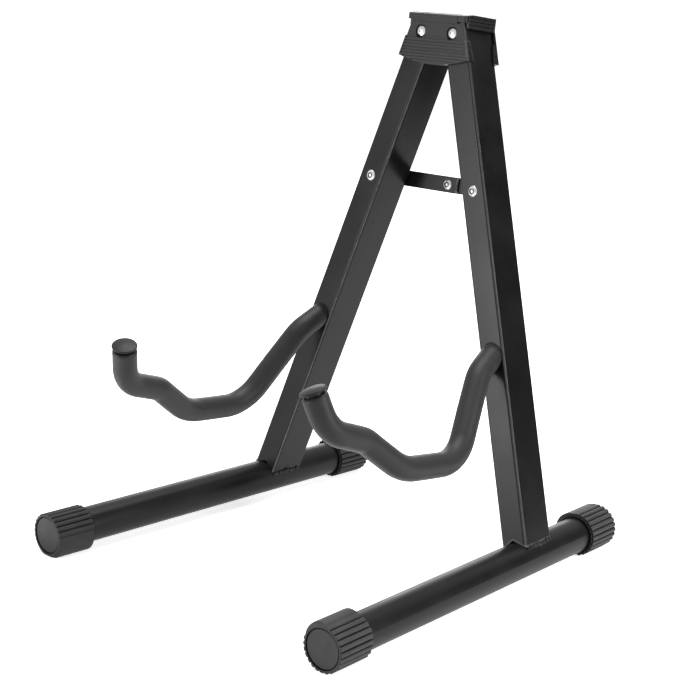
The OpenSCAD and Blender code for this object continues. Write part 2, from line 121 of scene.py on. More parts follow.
def foot_frame(side):
    """Under the leg on the foot tube's axis, Y along the tube to the rear."""
    tilt = math.atan(math.tan(LEAN) / math.cos(SPLAY))
    return leg_frame(side) @ Matrix.Translation((0, 0, -LEG_LENGTH)) @ turn("X", tilt)


def brace_rivet_frame(name):
    """Under a rivet's domed head, Y along the rivet to the rear."""
    if name == "middle_rivet_front":
        centre = (0, LEG_DEPTH / 2 + SLACK, -BRACE_DROP * math.cos(SPLAY))
        return hinge_frame() @ Matrix.Translation(centre)
    side = name.split("_")[0]
    return leg_frame(side) @ Matrix.Translation((0, -LEG_DEPTH / 2, -BRACE_DROP))


def to_metres(matrix):
    return Matrix.Scale(MM, 4) @ matrix


# Shader nodes

def new_material(name):
    material = bpy.data.materials.new(name)
    material.use_nodes = True
    tree = material.node_tree
    return material, tree, tree.nodes["Principled BSDF"]


def feed(tree, node, inputs):
    """Gives a node its inputs: plain values, or the outputs of other nodes."""
    for name, value in inputs.items():
        if isinstance(value, bpy.types.NodeSocket):
            tree.links.new(value, node.inputs[name])
        else:
            node.inputs[name].default_value = value


def coordinates(tree):
    """Object coordinates, which are the frame's own metres on every piece."""
    return tree.nodes.new("ShaderNodeTexCoord").outputs["Object"]


def noise(tree, scale, detail, roughness=0.55):
    """Cloudy pattern from 0 to 1; its scale is per metre."""
    made = tree.nodes.new("ShaderNodeTexNoise")
    feed(tree, made, {"Vector": coordinates(tree), "Scale": scale, "Detail": detail,
                      "Roughness": roughness})
    return made.outputs["Fac"]


def ramp(tree, factor, low, high, from_low=0.3, from_high=0.7):
    """Maps a factor to a number between low and high; a noise mostly lies in 0.3 to 0.7."""
    made = tree.nodes.new("ShaderNodeMapRange")
    feed(tree, made, {"Value": factor, "From Min": from_low, "From Max": from_high,
                      "To Min": low, "To Max": high})
    return made.outputs["Result"]


def maths(tree, operation, first, second=0.0):
    made = tree.nodes.new("ShaderNodeMath")
    made.operation = operation
    feed(tree, made, {0: first, 1: second})
    return made.outputs[0]


def times(tree, first, *others):
    for other in others:
        first = maths(tree, "MULTIPLY", first, other)
    return first


def vector_maths(tree, operation, output, first, second=(0, 0, 0)):
    made = tree.nodes.new("ShaderNodeVectorMath")
    made.operation = operation
    feed(tree, made, {0: first, 1: second})
    return made.outputs[output]


def grey(value):
    return (value, value, value, 1)


def mixed(tree, factor, first, second):
    """The first colour where the factor is 0, the second where it is 1."""
    made = tree.nodes.new("ShaderNodeMix")
    made.data_type = "RGBA"
    feed(tree, made, {"Factor": factor, "A": first, "B": second})
    return made.outputs["Result"]


def layered(tree, colour, layers):
    """Lays greys over a colour, each where its own mask is 1."""
    for mask, shade in layers:
        colour = mixed(tree, mask, colour, grey(shade))
    return colour


def bump(tree, height, depth, strength, after=None):
    """Normal of a relief of a depth in millimetres, on top of another one."""
    made = tree.nodes.new("ShaderNodeBump")
    feed(tree, made, {"Height": height, "Distance": depth * MM, "Strength": strength})
    if after is not None:
        tree.links.new(after, made.inputs["Normal"])
    return made.outputs["Normal"]


# Masks: the distances are metres in the nodes, and their limits are given in millimetres

SOFT = 0.1


def signed_along(tree, direction, start):
    """Distance from a point along a direction."""
    product = vector_maths(tree, "DOT_PRODUCT", "Value", coordinates(tree), direction)
    return maths(tree, "SUBTRACT", product, direction.dot(start))


def along(tree, direction, start):
    """The same distance without its sign."""
    return maths(tree, "ABSOLUTE", signed_along(tree, direction, start))


def from_axis(tree, start, direction):
    """Distance from the line through a point along a direction."""
    offset = vector_maths(tree, "SUBTRACT", "Vector", coordinates(tree), start)
    product = vector_maths(tree, "CROSS_PRODUCT", "Vector", offset, direction)
    return vector_maths(tree, "LENGTH", "Value", product)


def rise(tree, distance, low, high):
    """0 below the low limit and 1 above the high one."""
    return ramp(tree, distance, 0, 1, low * MM, high * MM)


def fall(tree, distance, low, high):
    """1 below the low limit and 0 above the high one."""
    return ramp(tree, distance, 1, 0, low * MM, high * MM)


def between(tree, distance, low, high, soft=SOFT):
    """1 between the two limits, with soft ends."""
    return times(tree, rise(tree, distance, low - soft, low + soft),
                 fall(tree, distance, high - soft, high + soft))


def highlight_patches(tree, scale):
    """How much painted highlights along edges show, which wanders along them."""
    return ramp(tree, noise(tree, scale, detail=3), 0.55, 1.0)


# Materials

# The photograph's light falls off from left to right otherwise than this scene's does, so a few
# tones have a value for each side.
LEG_GLOSS = {"left": 0.155, "right": 0.2}
# Grey of the painted highlight lines along the legs' rounded corners
CORNER_HIGHLIGHT_GREY = {"left": 0.14, "right": 0.06}
# How much the painted highlight along each leg's cut edge shows
CUT_HIGHLIGHT_SHOWS = {"left": 0.1, "right": 1.0}
# Painted shade that darkens the left caps
CAP_SHADE_TONE = {"left": 0.68, "right": 1.0}
# How much the painted shade of the caps' mould lines shows
THICK_LINE_SHADE_SHOWS = {"left": 0.15, "right": 0.6}
# Where a corner's painted highlight line starts, in corner radii beyond the centre of its arc; the
# arc's middle is at the square root of 2.
CORNER_LINE = 1.345
# Grey of the painted highlight along the legs' cut edges
CUT_HIGHLIGHT_GREY = 0.11
# Grey of the painted highlight on the front strip's sheared end
STRIP_END_HIGHLIGHT_GREY = 0.30
STRIP_GREYS = (0.006, 0.010)
STRIP_ROUGH, STRIP_GLOSS = 0.34, 0.18
POWDER_GRAIN, WELD_GRAIN = 0.02, 0.1
# Radii between which rivets carry painted shade: the groove round the broken stem of a turned
# rivet, and the rim of a hinge rivet
STEM_GROOVE, STEM_GROOVE_SHADE_GREY = (1.25, 2.15), 0.03
HINGE_RIM, HINGE_RIM_SHADE_GREY = (3.4, 4.6), 0.08


def powder_coat(name, greys, rough, gloss, grain=POWDER_GRAIN, edges=None):
    """Black baked powder: a fine orange peel, with gloss that wanders a little. Edges gives the
    masks of painted highlights along edges, each with its own grey."""
    material, tree, shader = new_material(name)
    cloud = noise(tree, scale=28, detail=4)
    peel = noise(tree, scale=900, detail=2)
    dust = noise(tree, scale=2600, detail=1)
    dark, light = greys
    colour = mixed(tree, ramp(tree, cloud, 0, 1), grey(dark), grey(light))
    if edges is not None:
        patches = highlight_patches(tree, 220)
        colour = layered(tree, colour, [(times(tree, mask, patches), shade)
                                        for mask, shade in edges(tree)])
    fine = bump(tree, dust, grain / 2, 0.5)
    feed(tree, shader, {"Base Color": colour,
                        "Roughness": ramp(tree, cloud, rough - 0.04, rough + 0.05),
                        "Normal": bump(tree, peel, grain, 0.6, fine),
                        "Specular IOR Level": gloss})
    return material


def leg_edge_highlights(side):
    """Painted highlights: thin lines along the four rounded corners of a leg tube, and along its
    cut edge at the foot.
    """
    place = to_metres(leg_frame(side))
    across, forward = (place.col[i].xyz.normalized() for i in (0, 1))
    foot = to_metres(foot_frame(side))
    floor_side, up = (foot.col[i].xyz.normalized() for i in (0, 2))
    # The sum of the distances across and forward has its peak in the middle of a rounded corner.
    line = (LEG_WIDTH + LEG_DEPTH) / 2 - 2 * LEG_CORNER + LEG_CORNER * CORNER_LINE
    notch_rise = (FOOT_R + FIT) * math.sqrt(1 + NOTCH_SLOPE ** 2)

    def masks(tree):
        both = maths(tree, "ADD", along(tree, across, place.translation),
                     along(tree, forward, place.translation))
        slope = times(tree, along(tree, floor_side, foot.translation), NOTCH_SLOPE)
        height = maths(tree, "ADD", along(tree, up, foot.translation), slope)
        cut = fall(tree, height, notch_rise + 0.8, notch_rise + 1.4)
        # Painted highlight lines along the corners, and a painted highlight along the cut edge
        return ((rise(tree, both, line, line + 0.08), CORNER_HIGHLIGHT_GREY[side]),
                (times(tree, cut, CUT_HIGHLIGHT_SHOWS[side]), CUT_HIGHLIGHT_GREY))
    return masks


def strip_end_highlight(tree):
    """Painted highlight on the sheared end of the front brace strip, beside the middle rivet."""
    place = to_metres(hinge_frame())
    x = signed_along(tree, place.col[0].xyz.normalized(), place.translation)
    return ((rise(tree, x, STRIP_OVER - 0.15, STRIP_OVER - 0.05), STRIP_END_HIGHLIGHT_GREY),)


def plug_plastic():
    """Moulded plastic with a spark eroded grain."""
    material, tree, shader = new_material("plug_plastic")
    pits = noise(tree, scale=1800, detail=2, roughness=0.65)
    cloud = ramp(tree, noise(tree, scale=60, detail=3), 0, 1)
    feed(tree, shader, {"Base Color": mixed(tree, cloud, grey(0.012), grey(0.018)),
                        "Roughness": ramp(tree, pits, 0.36, 0.48),
                        "Normal": bump(tree, pits, 0.02, 0.8),
                        "Specular IOR Level": 0.14})
    return material


def cap_rubber(side):
    """Moulded rubber, with painted shade deep between the ribs, in the groove round the disc and
    in the mould lines on the thick side; the left caps carry painted shade all over."""
    material, tree, shader = new_material(side + "_cap_rubber")
    # Painted shade that darkens the left caps; their gloss is lowered with it
    shade_tone = CAP_SHADE_TONE[side]
    pits = noise(tree, scale=1500, detail=2, roughness=0.65)
    cloud = ramp(tree, noise(tree, scale=60, detail=3), 0, 1)
    place = to_metres(foot_frame(side))
    start = place.translation
    right, back, up = (place.col[i].xyz.normalized() for i in range(3))
    radius = from_axis(tree, start, back)
    # Distance from the middle of the foot, so that both its ends are at half its length
    middle = start + back * (FOOT_REAR - FOOT_FRONT) / 2 * MM
    half = (FOOT_REAR + FOOT_FRONT) / 2
    reach = along(tree, back, middle)
    not_end = fall(tree, reach, half - 1.1, half - 0.7)
    # Painted shade of shallow mould lines on the thick side, at the ribs' pitch
    angle = maths(tree, "ARCTAN2", signed_along(tree, up, start), signed_along(tree, right, start))
    wave = maths(tree, "COSINE", times(tree, angle, float(CAP_PITCHES)))
    mould_line_shade = ramp(tree, wave, 0, THICK_LINE_SHADE_SHOWS[side], -0.75, -0.98)
    thick = rise(tree, radius, CAP_R - 0.1, CAP_R + 0.2)
    # Painted shade deep between the ribs
    shade_between_ribs = fall(tree, radius, CAP_R - 1.0, CAP_R - 0.3)
    # Painted shade in the groove round the disc, with its walls
    ring = between(tree, radius, DISC_R - 0.2, DISC_R + DISC_GROOVE + 0.1)
    sunk = fall(tree, reach, half - DISC_DIP - 0.1, half - DISC_DIP + 0.1)
    colour = mixed(tree, cloud, grey(0.034 * shade_tone), grey(0.048 * shade_tone))
    colour = layered(tree, colour, ((times(tree, mould_line_shade, thick, not_end), 0.012),
                                    (times(tree, shade_between_ribs, not_end), 0.006),
                                    (times(tree, ring, sunk), 0.004)))
    feed(tree, shader, {"Base Color": colour, "Roughness": ramp(tree, pits, 0.46, 0.58),
                        "Normal": bump(tree, pits, 0.04, 0.8),
                        "Specular IOR Level": 0.18 * shade_tone})
    return material


def mould_lines(tree, height):
    """Fine level lines of the head's mould, from a noise along its height alone."""
    made = tree.nodes.new("ShaderNodeTexNoise")
    made.noise_dimensions = "1D"
    feed(tree, made, {"W": height, "Scale": 1300, "Detail": 1.5})
    return made.outputs["Fac"]


def head_plastic():
    """Spark eroded plastic, with painted shade in the bottoms of its grooves, in the seam and in a
    line inside the front plate's edge, and painted highlights along the edges of its plates, bands
    and wings."""
    material, tree, shader = new_material("head_plastic")
    # Greys of the mould lines, of the painted shade, of the painted highlights and of the painted
    # highlight on the front plate's rim
    line_grey, groove_shade_grey, highlight_grey, rim_highlight_grey = 0.016, 0.0015, 0.05, 0.055
    cloud = ramp(tree, noise(tree, scale=60, detail=3), 0, 1)
    pits = noise(tree, scale=1800, detail=2, roughness=0.65)
    patches = highlight_patches(tree, 260)
    place = to_metres(hinge_frame())
    across, back, up = (place.col[i].xyz.normalized() for i in range(3))
    x = along(tree, across, place.translation)
    y = signed_along(tree, back, place.translation)
    z = signed_along(tree, up, place.translation)
    streaks = mould_lines(tree, z)
    faint = times(tree, ramp(tree, streaks, 0, 1, 0.42, 0.62), 0.8)
    # Painted shade in the bottoms of the grooves across the front pad and along the side bands
    pad_shade = times(tree, between(tree, y, -PLATE_Y - 0.9, -PLATE_Y - 0.1), fall(tree, z, -4.6, -4.2))
    over = rise(tree, z, BAND_LOW - 0.2, BAND_LOW + 0.1)
    band_shade = times(tree, between(tree, x, HEAD_HALF - 0.8, HEAD_HALF - 0.3),
                  between(tree, y, -15.0, 14.0, 0.2), over)
    # Painted shade in the seam between the front and the side bands, and a painted highlight along
    # the bands' front edge
    outer = rise(tree, x, HEAD_HALF - 1.2, HEAD_HALF - 0.9)
    seam_shade = times(tree, between(tree, y, -PLATE_Y + 0.3, -PLATE_Y + 1.4), outer, over)
    band_edge_highlight = times(tree, between(tree, y, -PLATE_Y + 1.4, -PLATE_Y + 2.4), outer, over, patches)
    # Painted highlight along the edge of the front plate and pad, with a line of painted shade
    # inside it
    flank = maths(tree, "ADD", x, times(tree, z, math.tan(SPLAY)))
    front = times(tree, fall(tree, y, -PLATE_Y + 0.6, -PLATE_Y + 1.0), fall(tree, z, 6.0, 7.5))
    line = times(tree, between(tree, flank, WING_HALF - 1.8, WING_HALF - 0.8), front)
    # The rim is a painted highlight.
    rim = times(tree, between(tree, flank, WING_HALF - 0.7, WING_HALF + 1.0), front, patches)
    # Painted highlights along the rear and upper edges of the wings, whose depth grows downwards
    wing = between(tree, flank, WING_HALF - 0.6, WING_HALF + 0.6)
    slant = (WING_D - WING_TOP_D) / (HEAD_DROP - WING_TOP)
    wing_rear = -PLATE_Y + WING_TOP_D - WING_TOP * slant
    slanted = maths(tree, "ADD", y, times(tree, z, slant))
    rear = times(tree, between(tree, slanted, wing_rear - 0.8, wing_rear + 0.3),
                 fall(tree, z, -WING_TOP, -WING_TOP + 0.4))
    upper = times(tree, between(tree, z, -WING_TOP - 0.8, -WING_TOP + 0.3),
                  fall(tree, y, WING_TOP_D - PLATE_Y, WING_TOP_D - PLATE_Y + 0.4))
    wing_edge_highlight = times(tree, maths(tree, "MAXIMUM", rear, upper), wing, patches)
    colour = mixed(tree, cloud, grey(0.005), grey(0.009))
    colour = layered(tree, colour, ((faint, line_grey), (pad_shade, groove_shade_grey), (band_shade, groove_shade_grey),
                                    (seam_shade, groove_shade_grey), (band_edge_highlight, highlight_grey), (line, groove_shade_grey),
                                    (rim, rim_highlight_grey), (wing_edge_highlight, highlight_grey)))
    # The wings' outer faces are smoother than the rest.
    behind = ramp(tree, y, 0, 0.13, (-PLATE_Y + 0.6) * MM, (-PLATE_Y + 1.0) * MM)
    rough = maths(tree, "SUBTRACT", ramp(tree, pits, 0.32, 0.44), times(tree, wing, behind))
    level = bump(tree, streaks, 0.12, 0.7)
    feed(tree, shader, {"Base Color": colour, "Roughness": rough,
                        "Normal": bump(tree, pits, 0.03, 0.8, level),
                        "Specular IOR Level": 0.26})
    return material


def foam_skin():
    """Closed cell foam: pores, a soft sheen and slightly paler rubbed patches."""
    material, tree, shader = new_material("foam_skin")
    cloud = ramp(tree, noise(tree, scale=45, detail=4), 0, 1)
    pores = noise(tree, scale=2400, detail=2, roughness=0.7)
    cells = tree.nodes.new("ShaderNodeTexVoronoi")
    feed(tree, cells, {"Vector": coordinates(tree), "Scale": 1500})
    deep = bump(tree, cells.outputs["Distance"], 0.05, 0.5)
    feed(tree, shader, {"Base Color": mixed(tree, cloud, grey(0.012), grey(0.018)),
                        "Roughness": 0.5, "Normal": bump(tree, pores, 0.04, 0.6, deep),
                        "Specular IOR Level": 0.22,
                        "Sheen Weight": 0.03, "Sheen Roughness": 0.5})
    return material


def zinc(name, place=None, ring=None, shade=None):
    """Bright plated steel with fine tumbling marks; place is the frame of a rivet that has this
    painted shade between the two radii of the ring."""
    material, tree, shader = new_material(name)
    marks = noise(tree, scale=1600, detail=3, roughness=0.6)
    cloud = ramp(tree, noise(tree, scale=300, detail=2), 0, 1)
    colour = mixed(tree, cloud, grey(0.50), grey(0.62))
    if place is not None:
        radius = from_axis(tree, place.translation, place.col[1].xyz.normalized())
        colour = layered(tree, colour, [(between(tree, radius, *ring), shade)])
    feed(tree, shader, {"Base Color": colour, "Roughness": ramp(tree, marks, 0.24, 0.34),
                        "Normal": bump(tree, marks, 0.004, 0.3), "Metallic": 1.0})
    return material


FOAM = foam_skin()
WELD = powder_coat("weld_powder_coat", (0.002, 0.006), 0.32, 0.2, WELD_GRAIN)


def dress_nodes():
    """Gives every CAD node its material."""
    foot = powder_coat("foot_powder_coat", (0.005, 0.008), 0.36, 0.155)
    strip = powder_coat("strip_paint", STRIP_GREYS, STRIP_ROUGH, STRIP_GLOSS)
    front_strip = powder_coat("front_strip_paint", STRIP_GREYS, STRIP_ROUGH, STRIP_GLOSS,
                              edges=strip_end_highlight)
    plug = plug_plastic()
    rivet = zinc("rivet_zinc")
    dress = {"hinge_head": head_plastic(), "middle_rivet_front": rivet,
             "middle_rivet_rear": rivet, "right_brace_spacer": strip}
    for side in SIDES:
        leg = powder_coat(side + "_leg_powder_coat", (0.004, 0.007), 0.30, LEG_GLOSS[side],
                          edges=leg_edge_highlights(side))
        cap = cap_rubber(side)
        hinge_rivet = zinc(side + "_hinge_rivet_zinc", to_metres(hinge_rivet_frame(side)),
                           HINGE_RIM, HINGE_RIM_SHADE_GREY)
        for part, material in (("leg_tube", leg), ("foot_tube", foot), ("foot_weld", WELD),
                               ("front_cap", cap), ("rear_cap", cap), ("arm_rod", strip),
                               ("arm_foam", FOAM), ("arm_plug", plug), ("brace_rivet", rivet),
                               ("hinge_sleeve", rivet), ("hinge_rivet", hinge_rivet),
                               ("brace_strip", front_strip if side == "left" else strip)):
            dress[f"{side}_{part}"] = material
    for name, item in NODES.items():
        item.data.materials.clear()
        item.data.materials.append(dress[name])


# Pieces made here in place of CAD nodes

def link(name, data):
    made = bpy.data.objects.new(name, data)
    bpy.context.scene.collection.objects.link(made)
    return made


def smooth_piece(name, verts, faces, material):
    mesh = bpy.data.meshes.new(name)
    mesh.from_pydata(verts, [], faces)
    mesh.validate()
    for polygon in mesh.polygons:
        polygon.use_smooth = True
    mesh.materials.append(material)
    return link(name, mesh)


def angles(count):
    return [2 * math.pi * k / count for k in range(count)]


def bridge(first, second, count):
    """Faces between two rings of vertices, each given by the number of its first vertex."""
    return [(first + k, first + (k + 1) % count, second + (k + 1) % count, second + k)
            for k in range(count)]


def left_of(head):
    return Vector((-head.y, head.x, 0))


def arm_centre_line(step, longer):
    """Points, directions and curvatures along the arm's centre line, with its corners rounded.
    It ends under the plug."""
    corners = [Vector((x, y, 0)) for x, y in ARM_POINTS]
    heads = [(b - a).normalized() for a, b in zip(corners, corners[1:])]
    points = []
    at = corners[0]
    for i, bend in enumerate(ARM_BENDS, start=1):
        before, after = heads[i - 1], heads[i]
        angle = before.angle(after)
        cut = bend * math.tan(angle / 2)
        start = corners[i] - before * cut
        count = max(2, round((start - at).length / step))
        points += [(at.lerp(start, k / count), before, 0.0) for k in range(count)]
        hand = 1 if before.cross(after).z > 0 else -1
        side = left_of(before) * hand
        centre = start + side * bend
        arc = max(3, math.ceil(angle * bend / step))
        for k in range(arc):
            swing = Matrix.Rotation(hand * angle * k / arc, 3, "Z")
            points.append((centre - swing @ (side * bend), swing @ before, hand / bend))
        at = corners[i] + after * cut
    end = corners[-1] - heads[-1] * (PLUG_T + PLUG_GAP - longer)
    count = max(2, round((end - at).length / step))
    points += [(at.lerp(end, k / count), heads[-1], 0.0) for k in range(count + 1)]
    return points


SLEEVE_SIDES = 40
SLEEVE_STEP = 1.2
# Length of the rounded end, and how far it is drawn in
SLEEVE_LIP, LIP_DRAW = 1.4, 1.1
# Radius and depth of the bore, which is wider at its mouth, where the plug has opened it
SLEEVE_BORE = [(6.9, 0.0), (6.7, 0.5), (6.6, 3.6), (5.7, 3.8), (5.7, 8.0)]
# How strongly a curvature gathers the foam on its inner side, the height and the rate of the
# ripples there and how far they are drawn in, and the faint waves all along the sleeve
GATHER, RIPPLE, RIPPLE_RATE, DRAWN_IN = 24, 0.10, 2.3, 0.06
WAVE, WAVE_RATE = 0.05, 0.13
# Rings over which the curvature is smoothed, to each side
SMOOTHED_RINGS = 5
# Rings beside the leg that are kept out of it, and the space left there
TRIMMED_RINGS, TRIM_SPACE, TRIM_STEP = 12, 0.3, 0.05


def foam_radius(inward, curvature, run, left_over):
    """Radius of the foam, with the lengths to both ends. Inward is 1 on the left side, where a
    positive curvature bends the arm to, and -1 on the right."""
    gather = max(0.0, inward * curvature) * GATHER
    ripple = RIPPLE * gather * math.sin(run * RIPPLE_RATE)
    wave = WAVE * math.sin(run * WAVE_RATE + 2 * inward) - WAVE
    in_lip = max(0.0, 1 - left_over / SLEEVE_LIP)
    rounding = LIP_DRAW * (1 - math.sqrt(max(0.0, 1 - in_lip ** 2)))
    return FOAM_R + min(0.0, ripple + wave - DRAWN_IN * gather) - rounding


def foam_sleeve(side):
    """A sleeve pulled over the bent rod: it gathers into faint ripples inside each bend, and
    its cut end is rounded round the plug."""
    sides = SLEEVE_SIDES
    line = arm_centre_line(SLEEVE_STEP, TIP_LONGER[side])
    place = to_metres(arm_frame(side))
    runs = [0.0]
    for a, b in zip(line, line[1:]):
        runs.append(runs[-1] + (b[0] - a[0]).length)
    verts, faces = [], []
    for i, (point, head, _) in enumerate(line):
        near = [curvature for _, _, curvature
                in line[max(0, i - SMOOTHED_RINGS):i + SMOOTHED_RINGS + 1]]
        smooth = sum(near) / len(near)
        for angle in angles(sides):
            inward = math.cos(angle)
            radius = foam_radius(inward, smooth, runs[i], runs[-1] - runs[i])
            offset = left_of(head) * inward + Vector((0, 0, math.sin(angle)))
            verts.append(place @ (point + offset * radius))
    point, head, _ = line[-1]
    for radius, depth in SLEEVE_BORE:
        for angle in angles(sides):
            offset = left_of(head) * math.cos(angle) + Vector((0, 0, math.sin(angle)))
            verts.append(place @ (point + offset * radius - head * depth))
    trim_to_leg(side, verts, sides)
    for first in range(0, len(verts) - sides, sides):
        faces += bridge(first, first + sides, sides)
    # Both the cut against the leg and the bottom of the bore are plain discs.
    faces.append(tuple(reversed(range(sides))))
    faces.append(tuple(range(len(verts) - sides, len(verts))))
    piece = smooth_piece(side + "_arm_sleeve", verts, faces, FOAM)
    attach(piece, side + "_leg")
    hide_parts(side + "_arm_foam")


def trim_to_leg(side, verts, sides):
    """Moves the first ring onto a plane just in front of the leg's face, and keeps the next
    rings in front of it too."""
    place = to_metres(leg_frame(side))
    back = place.inverted()
    face = -LEG_DEPTH / 2 - TRIM_SPACE
    for k in range(sides):
        first, second = back @ verts[k], back @ verts[sides + k]
        way = second - first
        verts[k] = place @ (first + way * ((face - first.y) / way.y))
    for i in range(1, TRIMMED_RINGS):
        for k in range(i * sides, (i + 1) * sides):
            here = back @ verts[k]
            if here.y > face - TRIM_STEP * i:
                here.y = face - TRIM_STEP * i
                verts[k] = place @ here


WELD_SIDES, WELD_STEPS = 14, 150
# Smallest radius of a bead, the length over which its ends are rounded, how far it stays from
# both edges of the leg, and the share of its section's area that is left at its ends
WELD_LEAST, WELD_ROUND, WELD_INSET, WELD_END = 0.75, 0.9, 1.2, 0.02
WELD_SEED = {"left": 11, "right": 29}
# Radii of the drops, how far they sit off the line, and the distances between them
DROP_RADII, DROP_SHIFTS, DROP_SPACES = (1.3, 2.3), (-0.5, 0.6), (2.4, 4.4)
# Distances of the first drop and of the last one from the bead's ends
FIRST_DROP, LAST_DROP = 0.6, 0.4
# A bead's section is flatter across than it is high, and stands a little off the leg's side.
BEAD_ACROSS, BEAD_UP, BEAD_OUT = 0.8, 1.05, 0.1
# Height of part.scad's beads above the corner of leg and foot
BEAD_RISE = 0.6


def weld_drops(chance, half):
    """Drops of a hand-laid bead: place, radius and how far each sits off the line."""
    drops = []
    at = -half + FIRST_DROP
    while at < half - LAST_DROP:
        drops.append((at, chance.uniform(*DROP_RADII), chance.uniform(*DROP_SHIFTS)))
        at += chance.uniform(*DROP_SPACES)
    return drops


def weld_size(drops, y, half):
    """Radius of the bead at a place along it and how far it sits off the line there."""
    size, shift = WELD_LEAST, 0.0
    for centre, radius, push in drops:
        far = (y - centre) / radius
        if abs(far) < 1:
            drop = radius * math.sqrt(1 - far * far)
            if drop > size:
                size, shift = drop, push
    end = min(1.0, (half - abs(y)) / WELD_ROUND)
    return size * math.sqrt(max(WELD_END, 1 - (1 - end) ** 2)), shift


def weld_beads(side):
    """Two beads of overlapping drops, in the corners between the leg's sides and the foot."""
    place = to_metres(foot_frame(side))
    chance = random.Random(WELD_SEED[side])
    corner_z = math.sqrt(FOOT_R * FOOT_R - LEG_WIDTH * LEG_WIDTH / 4)
    # The leg leans back, so its middle lies a little to the rear at the beads' height.
    middle = (corner_z + BEAD_RISE) * math.tan(LEAN) / math.cos(SPLAY)
    half = LEG_DEPTH / 2 - WELD_INSET
    sides, steps = WELD_SIDES, WELD_STEPS
    verts, faces = [], []
    for sign in SIDES.values():
        drops = weld_drops(chance, half)
        first = len(verts)
        last = first + steps * sides
        for i in range(steps + 1):
            y = -half + 2 * half * i / steps
            size, shift = weld_size(drops, y, half)
            for angle in angles(sides):
                x = LEG_WIDTH / 2 + size * BEAD_ACROSS * math.cos(angle) + BEAD_OUT
                z = corner_z + shift + size * BEAD_UP * math.sin(angle)
                verts.append(place @ Vector((sign * x, middle + y, z)))
        # The bead on the right is a mirror image, so its faces turn the other way round.
        for ring in range(first, last, sides):
            faces += (bridge(ring, ring + sides, sides) if sign < 0
                      else bridge(ring + sides, ring, sides))
        start_cap, end_cap = (tuple(range(ring, ring + sides)) for ring in (first, last))
        faces += [start_cap[::sign], end_cap[::-sign]]
    piece = smooth_piece(side + "_weld_beads", verts, faces, WELD)
    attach(piece, side + "_leg")
    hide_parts(side + "_foot_weld")


LATHE_SIDES = 40
SHARP = math.radians(40)
DOME_STEPS = 8


def dome_height(radius):
    """Height of the rivet's domed head at a distance from its axis."""
    ball = (DOME_R * DOME_R + DOME_H * DOME_H) / (2 * DOME_H)
    return math.sqrt(ball * ball - radius * radius) - (ball - DOME_H)


def rivet_profile(name):
    """Radii and places along the rivet: the broken stem, its groove, the domed flange, the
    shank and the tail."""
    inner, outer = STEM_GROOVE
    shank = RIVETS[name]
    profile = [(0, -1.22), (0.55, -1.18), (inner - 0.3, -1.0), (inner, -0.8), (inner + 0.1, -0.4),
               (outer - 0.1, -0.4), (outer, 0.15 - dome_height(outer))]
    for k in range(DOME_STEPS):
        radius = outer + 0.2 + (DOME_R - outer - 0.2) * k / DOME_STEPS
        profile.append((radius, -dome_height(radius)))
    profile += [(DOME_R, 0.0), (SHANK_R, 0.0), (SHANK_R, shank)]
    if name == "middle_rivet_front":
        return profile + [(0, shank)]
    return profile + [(TAIL_R, shank), (TAIL_R, shank + TAIL_H - 0.25),
                      (TAIL_R - 0.25, shank + TAIL_H), (0, shank + TAIL_H)]


def hollow_rivet(name):
    """Turned shape: the broken stem stands in the groove of the domed flange."""
    profile = rivet_profile(name)
    place = to_metres(brace_rivet_frame(name))
    sides = LATHE_SIDES
    verts = [place @ Vector((0, profile[0][1], 0))]
    for radius, y in profile[1:-1]:
        for angle in angles(sides):
            verts.append(place @ Vector((radius * math.cos(angle), y, radius * math.sin(angle))))
    verts.append(place @ Vector((0, profile[-1][1], 0)))
    last = len(verts) - 1
    end = last - sides
    faces = [(0, 1 + k, 1 + (k + 1) % sides) for k in range(sides)]
    for ring in range(1, end, sides):
        faces += bridge(ring + sides, ring, sides)
    faces += [(end + k, last, end + (k + 1) % sides) for k in range(sides)]
    material = zinc(name + "_zinc", place, STEM_GROOVE, STEM_GROOVE_SHADE_GREY)
    piece = smooth_piece(name + "_turned", verts, faces, material)
    piece.data.set_sharp_from_angle(angle=SHARP)
    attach(piece, "left_strip" if name.startswith("middle") else name.split("_")[0] + "_leg")
    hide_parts(name)


dress_nodes()
for one in SIDES:
    foam_sleeve(one)
    weld_beads(one)
for one in RIVETS:
    hollow_rivet(one)


# Floor and world: white to the camera and to reflections, plain to everything else

AMBIENT = 0.2
FLOOR_HALF, FLOOR_GREY = 30.0, 0.9
# The floor's glow grows between two distances from the stand, so that the floor meets the
# background.
GLOW_STRENGTH, GLOW_REACH = (0.72, 1.0), (0.35, 1.3)


def seen_directly(tree):
    """1 for rays that come from the camera, a reflection or a transmission."""
    path = tree.nodes.new("ShaderNodeLightPath")
    total = path.outputs["Is Camera Ray"]
    for name in ("Is Glossy Ray", "Is Transmission Ray"):
        total = maths(tree, "MAXIMUM", total, path.outputs[name])
    return total


def sheet(name, corners, material):
    mesh = bpy.data.meshes.new(name)
    mesh.from_pydata(corners, [], [(0, 1, 2, 3)])
    mesh.materials.append(material)
    return link(name, mesh)


